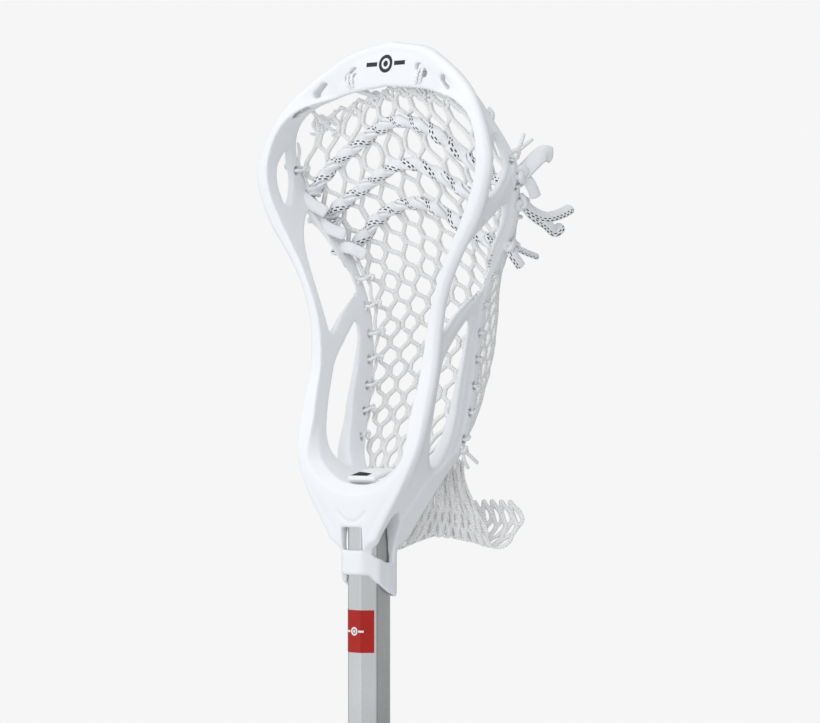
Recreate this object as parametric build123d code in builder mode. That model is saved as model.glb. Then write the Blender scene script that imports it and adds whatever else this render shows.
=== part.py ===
"""Lacrosse stick: an octagonal alloy shaft, a moulded head, and a strung pocket.

Frame: millimetres, +Z up the shaft, +X to the right seen from the open face, +Y towards the back,
where the pocket hangs. The origin is the centre of the butt cap's end face.
"""

from build123d import *
import os

os.makedirs("parts", exist_ok=True)

# ---- Driving dimensions -------------------------------------------------------------------------
SHAFT_LENGTH = 762.0  # 30 inches, the usual short shaft
SHAFT_X = 22.2  # across the side flats
SHAFT_Y = 24.4  # across the front and back flats
SHAFT_CORNER = 6.6  # cut taken off each corner of the rectangle
SHAFT_WALL = 1.3
CAP_END = 4.0  # rubber below the shaft's end
CAP_SLEEVE = 26.0  # sleeve around the shaft
CAP_WALL = 2.2
CAP_GAP = 0.1

HEAD_BASE = 713.0  # height of the collar's lowest edge; outlines below are measured up from it
SOCKET_GAP = 0.15
SOCKET_TOP = 53.5  # the shaft stops just under this
RIM_WIDTH = 8.5
RIM_DEPTH = 6.0
WALL_INSET = 2.0  # the sidewall's outer face lies this far inside the rim's
WALL = 4.0
LEAN = 0.1  # the sidewalls close in by this much for each millimetre back
FULL_INSET_X = 45.0  # nearer the middle than this, the wall's inset fades out
TIP_INSET = 1.0  # how far the walls' outlines lie inside the rim's at the scoop's tip
STRAIGHT_X = 16.0  # nearer the middle than this, the head does not lean
FLOOR_HEIGHT = 67.5  # the throat's floor above HEAD_BASE, at the middle of the shaft
FLOOR_SLOPE = 0.24  # the floor rises by this much for each millimetre back
REACH_FRONT, REACH_BACK = 20.0, 60.0  # planes in front of and behind the head
HALF_SPAN = 120.0  # cuts across the head reach this far each way
FRONT_WINDOW_X, FRONT_WINDOW_Z = 15.0, 12.5
FRONT_WINDOW_HEIGHT = 33.5
SLOT_WIDTH = 4.2
RAIL_HOLE_R = 1.5
RAIL_HOLE_INSET = 3.6
RAIL_HOLES = [90, 105, 120, 135, 150, 166, 182, 232, 246]

SCREW_HEIGHT = 18.0  # above HEAD_BASE, in the back of the collar
SCREW_SHANK_R = 2.0
SCREW_HEAD_R = 3.6
SCREW_HEAD_T = 2.4
SCREW_LENGTH = 9.0
SCREW_GAP = 0.3
SCREW_SEAT_Y = 13.9

CORD_R = 1.2  # nylon sidewall cord
LACE_R = 2.8  # a shooting string: a twisted pair of flat laces
KNOT_R = 4.0
TAIL_R = 2.0
CORD_KNOT_R = 3.0
MESH_SHIFT = 3.4  # the pocket's thickness, measured front to back
LABEL_THICK = 0.15
LABEL_GAP = 0.02
LABEL_LOW, LABEL_HEIGHT = 682.5, 24.0
LABEL_WRAP = 5.4  # how far back the label reaches
PAD_THICK = 2.6
PAD_WIDTH = 21.0
PAD_CLEARANCE = 0.3
PAD_FRONT, PAD_BACK = -7.0, 12.0
UPPER_KNOT, LOWER_KNOT = 245.0, 86.0
SIDE_STRING_HEIGHTS = [258, 246, 232, 214, 197, 182, 166, 150, 135, 120, 105, 92, 80]
TOP_STRING_DROP = 6.0
TAIL_TURN = 35.0

# Half outlines as (x, height above HEAD_BASE), from the scoop tip down to the collar.
RIM_OUTER = [
    (0, 315), (30, 311.5), (50, 303.5), (66, 292.5), (77, 281), (84.5, 268), (88.6, 254), (89, 241),
    (85.5, 225), (78.5, 211), (68.3, 197), (59, 182), (53, 167), (49.8, 150), (48.8, 130), (48.8, 108),
    (47.6, 88), (44.2, 76), (38.5, 65), (31, 54), (23.5, 43.5), (17.6, 33), (15.2, 22), (14.6, 10), (14.3, -6),
]
RIM_INNER = [
    (0, 291.5), (28, 289), (46, 281.5), (60, 272.5), (71.5, 264), (78.3, 254), (80.2, 244), (79.6, 235),
    (75.5, 223), (67.5, 207.5), (60.2, 196.8), (51, 183), (44.6, 169), (40.2, 150), (38.6, 131), (38, 116),
    (36.6, 102), (34.6, 90), (31, 80.5), (24.5, 73), (15, 67), (7, 64.7), (0, 64.2),
]
# Side outlines as (y, height above HEAD_BASE): the rim's front edge and the string rail's back edge.
FRONT_EDGE = [
    (-14.8, -6), (-14.8, 30), (-15, 58), (-13.6, 76), (-10.8, 90), (-4.8, 112), (0, 130), (2, 150),
    (1.8, 175), (0.8, 200), (0, 225), (1, 245), (4, 262), (8.5, 280), (12.5, 293), (17, 305), (22.5, 317),
]
BACK_EDGE = [
    (28, 317), (25, 308), (22, 296), (20.5, 282), (21.5, 268), (25, 254), (30, 242), (38, 225), (45, 211),
    (49, 196), (50, 175), (48.5, 150), (44.5, 122), (39, 100), (34, 87), (28, 76), (22, 66), (17.5, 50),
    (15, 30), (14.8, -6),
]
# Sidewall windows as (y, height above HEAD_BASE).
UPPER_WINDOW = [
    (14.5, 257), (9.5, 250), (8.2, 242), (8.6, 233), (10.6, 224.5), (16, 228), (20, 236), (21, 243), (18.5, 251),
]
MIDDLE_WINDOW = [
    (28.4, 221.4), (20.5, 214), (13.6, 202.7), (9.9, 191), (8.7, 180), (8.8, 168.7), (11.3, 151.7), (16, 152.5),
    (22.5, 160), (32.1, 168.7), (37.8, 174.4), (38.6, 181), (37, 194), (33.5, 211),
]
LOWER_WINDOW = [
    (34.8, 157), (28.5, 151.5), (23.5, 146), (14, 133.7), (9.6, 120), (5.5, 105), (2.9, 91.6), (4.3, 81.5),
    (9.5, 74.5), (14.5, 76), (18, 83), (23.9, 98.4), (27.6, 114), (34, 138), (36, 150),
]
THROAT_SIDE_WINDOW = [
    (-7.5, 47.5), (-2, 48), (1.5, 40), (3, 28), (3.3, 21), (1.6, 20), (-4, 21.8), (-8.7, 24.5), (-9.9, 30),
    (-9.3, 38),
]
FLOOR_FRONT, FLOOR_BACK = FLOOR_HEIGHT - 40 * FLOOR_SLOPE, FLOOR_HEIGHT + 80 * FLOOR_SLOPE
ABOVE_FLOOR = [(-40, FLOOR_FRONT), (80, FLOOR_BACK), (80, 400), (-40, 400)]
MOUTH_CUT = [
    (-40, 13.6), (-10, 13), (-7, 9), (-2, 5.5), (2, 3), (9, 0.6), (16, 0), (16, -20), (-40, -20),
]
# Slots in one half of the scoop, as (x, height above HEAD_BASE, tilt in degrees, length).
SCOOP_SLOTS = [(27, 298.5, 41, 10.5), (48, 289.5, 43, 12.5), (68, 276.5, 40, 14.5)]
# Shooting strings as (height at the walls, height at the middle, half width).
SHOOTING = [(951, 984, 78), (935, 960, 73), (913, 938, 61)]
# Surplus mesh as (height, x, y, width, depth).
MESH_TAIL = [
    (785, 8, 36, 36, 7), (775, 13, 42, 40, 10), (765, 22, 51, 58, 13), (752, 25, 54, 64, 14), (742, 22, 50, 50, 10),
    (737, 21, 48, 30, 7),
]
# The pocket as (height, half width, y at the rails, y at the middle).
POCKET = [
    (779, 25, 24.5, 28), (790, 34, 33, 48), (808, 36.5, 40.5, 70), (825, 37, 45, 83), (853, 38.5, 49.5, 94),
    (880, 42.5, 52, 95), (905, 56, 51.5, 82), (925, 70, 46.5, 68), (945, 78, 36.5, 53), (965, 80, 29.5, 42),
    (985, 76, 27.5, 34), (1003, 66, 26.5, 28),
]


def lifted(points):
    """Outline points moved up from the head's own heights to the stick's."""
    return [(a, HEAD_BASE + h) for a, h in points]


def octagon(plane, across_x, across_y, corner):
    """A rectangle with its corners cut off, on a plane."""
    x, y = across_x / 2, across_y / 2
    right = [(x - corner, -y), (x, -y + corner), (x, y - corner), (x - corner, y)]
    left = [(-a, b) for a, b in reversed(right)]
    with BuildSketch(plane) as outline:
        with BuildLine():
            Polyline(right + left, close=True)
        make_face()
    return outline.sketch


def mirrored(plane, half, with_base):
    """A smooth half outline and its mirror image; with_base joins its two low ends by a line."""
    right = lifted(half)
    left = [(-x, z) for x, z in reversed(right)]
    low_out, low_back = ((0, -1), (0, 1)) if with_base else ((-1, 0), (-1, 0))
    with BuildSketch(plane) as outline:
        with BuildLine():
            Spline(right, tangents=[(1, 0), low_out])
            Spline(left, tangents=[low_back, (1, 0)])
            if with_base:
                Line(right[-1], left[0])
        make_face()
    return outline.sketch


def side_shape(front, back):
    """The area between a front edge, given upwards, and a back edge, given downwards."""
    front, back = lifted(front), lifted(back)
    with BuildSketch(Plane.YZ) as outline:
        with BuildLine():
            Spline(front)
            Line(front[-1], back[0])
            Spline(back)
            Line(back[-1], front[0])
        make_face()
    return outline.sketch


def side_opening(points):
    """A smooth closed side opening."""
    with BuildSketch(Plane.YZ) as outline:
        with BuildLine():
            Spline(lifted(points), periodic=True)
        make_face()
    return outline.sketch


def along(points, height):
    """Interpolates the first value of (value, height) points, which run up or down."""
    ordered = sorted(points, key=lambda point: point[1])
    for (a, low), (b, high) in zip(ordered, ordered[1:]):
        if height <= high:
            return a + (b - a) * max(0.0, (height - low) / (high - low))
    return ordered[-1][0]


def wall_x(height, y):
    """How far the sidewall's outer face lies from the middle."""
    outer = along([point for point in RIM_OUTER if point[0] > 13], height - HEAD_BASE)
    return outer - WALL_INSET - LEAN * y


def pocket_row(height):
    """Half width, y at the rails and y at the middle of the pocket at a height."""
    for low, high in zip(POCKET, POCKET[1:]):
        if height <= high[0]:
            t = max(0.0, (height - low[0]) / (high[0] - low[0]))
            return [low[i] + t * (high[i] - low[i]) for i in (1, 2, 3)]
    return list(POCKET[-1][1:])


def pocket_y(x, height):
    """Where the inside of the pocket lies, at a place seen from the front."""
    half, edge, middle = pocket_row(height)
    return edge + (middle - edge) * max(0.0, 1 - (x / half) ** 2)


def tube(points, radius):
    """A cord through the points."""
    with BuildPart() as cord:
        with BuildLine() as route:
            Spline(points)
        with BuildSketch(Plane(origin=route.line @ 0, z_dir=route.line % 0)):
            Circle(radius)
        sweep()
    return cord.part


def knot(centre, radius, tail_points, tail_radius):
    """A round knot with a short tail that starts inside it."""
    with BuildPart() as tied:
        with Locations(centre):
            Sphere(radius)
        add(tube(tail_points, tail_radius))
    return tied.part


def save(part, name):
    part.label = name
    export_step(part, f"parts/{name}.step")


# ---- Shaft ---------------------------------------------------------------------------------------
screw_z = HEAD_BASE + SCREW_HEIGHT
back_face = Plane(origin=(0, SHAFT_Y / 2, screw_z), z_dir=(0, 1, 0))
inner_corner = SHAFT_CORNER - SHAFT_WALL * 0.59

with BuildPart() as shaft:
    extrude(octagon(Plane.XY.offset(CAP_END), SHAFT_X, SHAFT_Y, SHAFT_CORNER), amount=SHAFT_LENGTH)
    fillet(shaft.edges().filter_by(Axis.Z), radius=1.6)
    bore = octagon(
        Plane.XY.offset(CAP_END), SHAFT_X - 2 * SHAFT_WALL, SHAFT_Y - 2 * SHAFT_WALL, inner_corner
    )
    extrude(bore, amount=SHAFT_LENGTH, mode=Mode.SUBTRACT)
    with Locations(back_face):
        Cylinder(SCREW_SHANK_R + SCREW_GAP, SHAFT_WALL * 3, mode=Mode.SUBTRACT)
save(shaft.part, "shaft")

# ---- Butt cap ------------------------------------------------------------------------------------
grown = 2 * (CAP_GAP + CAP_WALL)
with BuildPart() as butt_cap:
    extrude(octagon(Plane.XY, SHAFT_X + grown, SHAFT_Y + grown, SHAFT_CORNER + 1), amount=CAP_END + CAP_SLEEVE)
    fillet(butt_cap.edges().filter_by(Axis.Z), radius=3)
    fillet(butt_cap.edges().group_by(Axis.Z)[0], radius=2)
    fillet(butt_cap.edges().group_by(Axis.Z)[-1], radius=0.8)
    sleeve = octagon(
        Plane.XY.offset(CAP_END), SHAFT_X + 2 * CAP_GAP, SHAFT_Y + 2 * CAP_GAP, SHAFT_CORNER
    )
    extrude(sleeve, amount=CAP_SLEEVE + 1, mode=Mode.SUBTRACT)
save(butt_cap.part, "butt_cap")

# ---- Label wrapped round the shaft's front -------------------------------------------------------
with BuildPart() as shaft_label:
    label_plane = Plane.XY.offset(LABEL_LOW)
    thick = 2 * (LABEL_GAP + LABEL_THICK)
    extrude(octagon(label_plane, SHAFT_X + thick, SHAFT_Y + thick, SHAFT_CORNER), amount=LABEL_HEIGHT)
    gap = 2 * LABEL_GAP
    inside = octagon(label_plane, SHAFT_X + gap, SHAFT_Y + gap, SHAFT_CORNER)
    extrude(inside, amount=LABEL_HEIGHT, mode=Mode.SUBTRACT)
    with Locations((0, -SHAFT_Y / 2, LABEL_LOW + LABEL_HEIGHT / 2)):
        Box(2 * SHAFT_X, 2 * LABEL_WRAP, 2 * LABEL_HEIGHT, mode=Mode.INTERSECT)
save(shaft_label.part, "shaft_label")

# ---- Head ----------------------------------------------------------------------------------------
rim_back = [(y + RIM_DEPTH, h) for y, h in reversed(FRONT_EDGE)]
with BuildPart() as side_band:
    extrude(side_shape(FRONT_EDGE, BACK_EDGE), amount=HALF_SPAN, both=True)
with BuildPart() as rim_band:
    extrude(side_shape(FRONT_EDGE, rim_back), amount=HALF_SPAN, both=True)

# Rim: an upright ring as deep as the rim, and the whole of the scoop.
with BuildPart() as rim:
    extrude(mirrored(Plane.XZ, RIM_OUTER, with_base=True), amount=REACH_BACK, both=True)
    ring_hole = mirrored(Plane.XZ, RIM_INNER, with_base=False)
    extrude(ring_hole, amount=REACH_BACK + 1, both=True, mode=Mode.SUBTRACT)
    add(rim_band.part, mode=Mode.INTERSECT)

# Sidewalls and throat: a ring whose sides lean inwards towards the back, over a floor that rises.
# The walls' outlines also lie clear of the rim's at the tip and the throat.
tip, top, bottom = RIM_OUTER[0][1], RIM_INNER[0][1], RIM_INNER[-1][1]
middle = (top + bottom) / 2
widening = RIM_WIDTH - WALL_INSET - WALL
wall_outer = [(x - WALL_INSET * min(1.0, x / FULL_INSET_X), h - TIP_INSET * h / tip) for x, h in RIM_OUTER]
wall_inner = [
    (x + widening * min(1.0, x / FULL_INSET_X), h + TIP_INSET * (h - middle) / (top - middle)) for x, h in RIM_INNER
]


def leaning(half, with_base):
    """An outline extruded back: straight near the middle, slanted inwards on both sides of it."""
    with BuildPart() as solid:
        extrude(mirrored(Plane.XZ, half, with_base), amount=REACH_BACK, both=True)
        Box(2 * STRAIGHT_X, 4 * REACH_BACK, 3000, mode=Mode.INTERSECT)
    for side in (-1, 1):
        start = Plane(origin=(side * LEAN * REACH_FRONT, -REACH_FRONT, 0), x_dir=(1, 0, 0), z_dir=(0, -1, 0))
        with BuildPart() as flank:
            face = mirrored(start, half, with_base)
            extrude(face, amount=REACH_FRONT + REACH_BACK, dir=(-side * LEAN, 1, 0))
            with Locations((side * (STRAIGHT_X + HALF_SPAN), 0, 0)):
                Box(2 * HALF_SPAN, 4 * REACH_BACK, 3000, mode=Mode.INTERSECT)
        with solid:
            add(flank.part)
    return solid.part


with BuildPart() as hollow:
    add(leaning(wall_inner, with_base=False))
    with BuildSketch(Plane.YZ):
        with BuildLine():
            Polyline(lifted(ABOVE_FLOOR), close=True)
        make_face()
    extrude(amount=HALF_SPAN, both=True, mode=Mode.INTERSECT)

with BuildPart() as head:
    add(leaning(wall_outer, with_base=True))
    add(hollow.part, mode=Mode.SUBTRACT)
    add(side_band.part, mode=Mode.INTERSECT)
    add(rim.part)
    for window in (UPPER_WINDOW, MIDDLE_WINDOW, LOWER_WINDOW, THROAT_SIDE_WINDOW):
        extrude(side_opening(window), amount=HALF_SPAN, both=True, mode=Mode.SUBTRACT)
    # Slots for the top string, through the scoop.
    for x, height, tilt, length in SCOOP_SLOTS:
        for side in (-1, 1):
            with BuildSketch(Plane.XZ) as slots:
                with Locations((side * x, HEAD_BASE + height)):
                    SlotOverall(length, SLOT_WIDTH, rotation=-side * tilt)
            extrude(amount=REACH_BACK, both=True, mode=Mode.SUBTRACT)
    # Holes for the sidewall strings, near the back rail.
    for height in RAIL_HOLES:
        rail = along(BACK_EDGE, height)
        with Locations(Plane(origin=(0, rail - RAIL_HOLE_INSET, HEAD_BASE + height), z_dir=(1, 0, 0))):
            Cylinder(RAIL_HOLE_R, 2 * HALF_SPAN, mode=Mode.SUBTRACT)
    # Socket for the shaft, a front window on it, and a slanted mouth.
    socket = octagon(
        Plane.XY.offset(HEAD_BASE - 10), SHAFT_X + 2 * SOCKET_GAP, SHAFT_Y + 2 * SOCKET_GAP, SHAFT_CORNER
    )
    extrude(socket, amount=SOCKET_TOP + 10, mode=Mode.SUBTRACT)
    with Locations((0, -SHAFT_Y / 2, HEAD_BASE + FRONT_WINDOW_HEIGHT)):
        Box(FRONT_WINDOW_X, SHAFT_Y / 2, FRONT_WINDOW_Z, mode=Mode.SUBTRACT)
    with BuildSketch(Plane.YZ):
        with BuildLine():
            Polyline(lifted(MOUTH_CUT), close=True)
        make_face()
    extrude(amount=HALF_SPAN, both=True, mode=Mode.SUBTRACT)
    # Screw hole and the flat its head sits on.
    with Locations(back_face):
        Cylinder(SCREW_SHANK_R + SCREW_GAP, 30, mode=Mode.SUBTRACT)
    with Locations(Plane(origin=(0, SCREW_SEAT_Y + 5, screw_z), z_dir=(0, 1, 0))):
        Cylinder(SCREW_HEAD_R + SCREW_GAP, 10, mode=Mode.SUBTRACT)
save(head.part, "head_frame")

# ---- Head screw ----------------------------------------------------------------------------------
with BuildPart() as head_screw:
    with BuildSketch(Plane(origin=(0, SCREW_SEAT_Y, screw_z), z_dir=(0, -1, 0))):
        Circle(SCREW_SHANK_R)
    extrude(amount=SCREW_LENGTH, taper=4)
    with BuildSketch(Plane(origin=(0, SCREW_SEAT_Y, screw_z), z_dir=(0, 1, 0))):
        Circle(SCREW_HEAD_R)
    extrude(amount=SCREW_HEAD_T)
    fillet(head_screw.edges().group_by(Axis.Y)[-1], radius=1)
    with Locations((0, SCREW_SEAT_Y + SCREW_HEAD_T, screw_z)):
        Box(1.1, 2.4, 4.4, mode=Mode.SUBTRACT)
        Box(4.4, 2.4, 1.1, mode=Mode.SUBTRACT)
save(head_screw.part, "head_screw")

# ---- Ball stop: a foam pad that follows the floor -------------------------------------------------
pad_base = HEAD_BASE + FLOOR_HEIGHT + PAD_CLEARANCE
with BuildPart() as ball_stop:
    with BuildSketch(Plane.YZ):
        with BuildLine():
            Polyline(
                [
                    (PAD_FRONT, pad_base + FLOOR_SLOPE * PAD_FRONT),
                    (PAD_BACK, pad_base + FLOOR_SLOPE * PAD_BACK),
                    (PAD_BACK, pad_base + FLOOR_SLOPE * PAD_BACK + PAD_THICK),
                    (PAD_FRONT, pad_base + FLOOR_SLOPE * PAD_FRONT + PAD_THICK),
                ],
                close=True,
            )
        make_face()
    extrude(amount=PAD_WIDTH / 2, both=True)
    fillet(ball_stop.edges().filter_by(Axis.X), radius=0.8)
save(ball_stop.part, "ball_stop")

# ---- Pocket --------------------------------------------------------------------------------------
with BuildPart() as pocket_mesh:
    for height, half, edge, middle in POCKET:
        across = [-half, -half * 0.6, 0, half * 0.6, half]
        inside = [(x, pocket_y(x, height)) for x in across]
        outside = [(x, y + MESH_SHIFT) for x, y in reversed(inside)]
        with BuildSketch(Plane.XY.offset(height)):
            with BuildLine():
                Spline(inside)
                Line(inside[-1], outside[0])
                Spline(outside)
                Line(outside[-1], inside[0])
            make_face()
    loft(ruled=True)
save(pocket_mesh.part, "pocket_mesh")

# Surplus mesh, gathered behind the throat and curling to the right.
with BuildPart() as mesh_tail:
    for height, x, y, width, depth in MESH_TAIL:
        with BuildSketch(Plane.XY.offset(height)):
            with Locations((x, y)):
                Ellipse(width / 2, depth / 2, rotation=TAIL_TURN)
    loft()
save(mesh_tail.part, "mesh_tail")

# ---- Shooting strings, their knots and tails ------------------------------------------------------
for number, (end_height, top_height, end_x) in enumerate(SHOOTING, 1):
    stations = [-1, -0.72, -0.4, 0, 0.4, 0.72, 1]
    points = []
    for s in stations:
        height = top_height - (top_height - end_height) * abs(s) ** 1.25
        y = pocket_y(s * end_x, height) - LACE_R * 0.6
        points.append((s * end_x, y, height))
    save(tube(points, LACE_R), f"shooting_string_{number}")
    for side, name in ((-1, "left"), (1, "right")):
        knot_y = points[-1][1] - 2
        knot_x = wall_x(end_height, knot_y) + KNOT_R * 0.8
        centre = (side * knot_x, knot_y, end_height)
        tail = [
            centre,
            (side * (knot_x + 5), knot_y + 9, end_height - 3),
            (side * (knot_x + 4), knot_y + 22 + 3 * number, end_height - 7),
        ]
        save(knot(centre, KNOT_R, tail, TAIL_R), f"shooting_knot_{name}_{number}")

# ---- Sidewall strings, top string, bottom string --------------------------------------------------
for side, name in ((-1, "left"), (1, "right")):
    points = []
    for height in SIDE_STRING_HEIGHTS:
        y = along(BACK_EDGE, height) + CORD_R * 0.5
        points.append((side * (wall_x(HEAD_BASE + height, y) - WALL / 2), y, HEAD_BASE + height))
    save(tube(points, CORD_R), f"sidewall_string_{name}")
    for place, height in (("upper", UPPER_KNOT), ("lower", LOWER_KNOT)):
        y = along(BACK_EDGE, height) - 3
        x = wall_x(HEAD_BASE + height, y) + CORD_R
        centre = (side * x, y, HEAD_BASE + height)
        tail = [centre, (side * (x + 4), y + 4, centre[2] - 2), (side * (x + 5), y + 12, centre[2] - 6)]
        save(knot(centre, CORD_KNOT_R, tail, CORD_R), f"sidewall_knot_{place}_{name}")

scoop_points = [(side * x, height) for x, height, _, _ in SCOOP_SLOTS for side in (-1, 1)]
points = []
for x, height in sorted(scoop_points):
    points.append((x, along(BACK_EDGE, height) + CORD_R * 0.5, HEAD_BASE + height - TOP_STRING_DROP))
save(tube(points, CORD_R), "top_string")

low = POCKET[0]
points = [
    (s * (low[1] + 6), low[2] + (low[3] - low[2]) * (1 - s * s) + MESH_SHIFT / 2, low[0] - 2 + 5 * abs(s))
    for s in (-1, -0.5, 0, 0.5, 1)
]
save(tube(points, CORD_R), "bottom_string")
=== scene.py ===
"""Looks for the lacrosse stick: moulded head, knitted pocket, laces, cords, shaft and studio."""

import math

import bpy
import numpy as np
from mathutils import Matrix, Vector


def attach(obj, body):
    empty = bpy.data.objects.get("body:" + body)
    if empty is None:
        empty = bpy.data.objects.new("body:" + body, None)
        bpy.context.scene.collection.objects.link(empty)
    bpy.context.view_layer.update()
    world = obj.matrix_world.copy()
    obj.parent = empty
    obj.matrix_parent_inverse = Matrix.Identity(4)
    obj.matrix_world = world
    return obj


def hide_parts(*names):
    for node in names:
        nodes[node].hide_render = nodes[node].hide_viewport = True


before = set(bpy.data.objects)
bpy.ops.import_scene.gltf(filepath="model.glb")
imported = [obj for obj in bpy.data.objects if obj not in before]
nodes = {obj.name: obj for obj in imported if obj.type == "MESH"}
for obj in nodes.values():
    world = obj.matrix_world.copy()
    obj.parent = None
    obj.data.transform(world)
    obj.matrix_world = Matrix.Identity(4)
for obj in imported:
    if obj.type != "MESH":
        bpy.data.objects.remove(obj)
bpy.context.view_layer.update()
rng = np.random.default_rng(7)
MM = 0.001

# ---- Studio ----
VIEW_AZIMUTH = math.radians(42.0)
VIEW_DISTANCE = 2.0
VIEW_WIDTH = 0.465  # width of the frame at the stick
VIEW_CENTRE_RIGHT, VIEW_CENTRE_HEIGHT = 0.0232, 0.8468
BACKGROUND = 0.92  # strength of the white that the camera sees
FILL_LOW, FILL_HIGH = 0.33, 1.07
LIGHTS_AIM_HEIGHT = 0.85

scene = bpy.context.scene
scene.view_settings.view_transform = "Standard"
scene.view_settings.look = "None"

view_right = Vector((math.cos(VIEW_AZIMUTH), math.sin(VIEW_AZIMUTH), 0))
view_back = Vector((math.sin(VIEW_AZIMUTH), -math.cos(VIEW_AZIMUTH), 0))
camera_data = bpy.data.cameras.new("camera")
camera_data.sensor_width = 36.0
camera_data.lens = 36.0 * VIEW_DISTANCE / VIEW_WIDTH
camera_data.clip_end = 50.0
camera = bpy.data.objects.new("camera", camera_data)
scene.collection.objects.link(camera)
view_centre = view_right * VIEW_CENTRE_RIGHT
camera.location = view_centre + view_back * VIEW_DISTANCE + Vector((0, 0, VIEW_CENTRE_HEIGHT))
camera.rotation_mode = "QUATERNION"
camera.rotation_quaternion = (-view_back).to_track_quat("-Z", "Y")
scene.camera = camera


def set_sockets(node, sockets):
    """Sets a node's inputs by name; an underscore stands for a space."""
    for name, value in sockets.items():
        node.inputs[name.replace("_", " ")].default_value = value


def new_node(tree, kind, **sockets):
    node = tree.nodes.new("ShaderNode" + kind)
    set_sockets(node, sockets)
    return node


def studio_world():
    """White where the camera looks at it, and for everything else a soft fill light."""
    world = bpy.data.worlds.new("studio")
    world.use_nodes = True
    tree, link = world.node_tree, world.node_tree.links.new
    tree.nodes.clear()
    out = new_node(tree, "OutputWorld")
    mix = new_node(tree, "MixShader")
    fill = new_node(tree, "Background", Color=(0.93, 0.96, 1.0, 1))
    seen = new_node(tree, "Background", Color=(1, 1, 1, 1), Strength=BACKGROUND)
    # The fill is brightest from the upper left in front, and falls off towards the right and the back.
    place = new_node(tree, "TexCoord")
    dot = new_node(tree, "VectorMath")
    dot.operation = "DOT_PRODUCT"
    dot.inputs[1].default_value = FILL_FROM
    fall = new_node(tree, "MapRange", From_Min=-0.75, From_Max=0.9, To_Min=FILL_LOW, To_Max=FILL_HIGH)
    fall.interpolation_type = "SMOOTHSTEP"
    link(place.outputs["Generated"], dot.inputs[0])
    link(dot.outputs["Value"], fall.inputs["Value"])
    link(fall.outputs[0], fill.inputs["Strength"])
    link(new_node(tree, "LightPath").outputs["Is Camera Ray"], mix.inputs["Fac"])
    link(fill.outputs[0], mix.inputs[1])
    link(seen.outputs[0], mix.inputs[2])
    link(mix.outputs[0], out.inputs["Surface"])
    return world


def area_light(name, azimuth, elevation, distance, size, power, colour=(1, 1, 1)):
    """A soft box aimed at the head, placed by its direction from the stick."""
    data = bpy.data.lights.new(name, "AREA")
    data.shape = "RECTANGLE"
    data.size, data.size_y = size
    data.energy = power
    data.color = colour
    light = bpy.data.objects.new(name, data)
    scene.collection.objects.link(light)
    a, e = math.radians(azimuth), math.radians(elevation)
    back = Vector((math.sin(a) * math.cos(e), -math.cos(a) * math.cos(e), math.sin(e)))
    light.location = Vector((0, 0, LIGHTS_AIM_HEIGHT)) + back * distance
    light.rotation_mode = "QUATERNION"
    light.rotation_quaternion = back.to_track_quat("Z", "Y")


FILL_FROM = (-view_right * 0.72 + view_back * 0.5 + Vector((0, 0, 0.48))).normalized()
scene.world = studio_world()
area_light("key", -5, 22, 1.6, (1.0, 1.4), 4)
area_light("top", 10, 75, 1.5, (1.2, 1.2), 3)
area_light("rim", 150, 10, 1.8, (0.8, 1.6), 2, (0.95, 0.98, 1.0))


# ---- Mesh helpers ----
def mesh_object(name, verts, faces, uvs=None, smooth=True):
    """A mesh piece from points in millimetres and lists of faces; uvs hold one pair for each corner."""
    mesh = bpy.data.meshes.new(name)
    mesh.from_pydata((verts * MM).tolist(), [], faces)
    if uvs is not None:
        layer = mesh.uv_layers.new(name="along")
        layer.data.foreach_set("uv", uvs.astype(np.float32).ravel())
    mesh.polygons.foreach_set("use_smooth", [smooth] * len(mesh.polygons))
    mesh.update()
    piece = bpy.data.objects.new(name, mesh)
    scene.collection.objects.link(piece)
    return piece


def smooth_line(points, count=200, closed=False):
    """Catmull-Rom curve through control points, as count points evenly spaced by length."""
    p = np.asarray(points, float)
    if closed:
        p = np.vstack([p[-1], p, p[:2]])
    else:
        p = np.vstack([2 * p[0] - p[1], p, 2 * p[-1] - p[-2]])
    parts = []
    t = np.linspace(0, 1, 24, endpoint=False)[:, None]
    for a, b, c, d in zip(p, p[1:], p[2:], p[3:]):
        parts.append(
            0.5 * (2 * b + (c - a) * t + (2 * a - 5 * b + 4 * c - d) * t**2 + (3 * b - 3 * c + d - a) * t**3)
        )
    dense = np.vstack(parts + ([] if closed else [p[-2][None]]))
    step = np.r_[0, np.cumsum(np.linalg.norm(np.diff(dense, axis=0), axis=1))]
    at = np.linspace(0, step[-1], count)
    return np.stack([np.interp(at, step, dense[:, k]) for k in range(p.shape[1])], 1)


def unit(v):
    return v / np.maximum(np.linalg.norm(v, axis=-1, keepdims=True), 1e-9)


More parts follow.
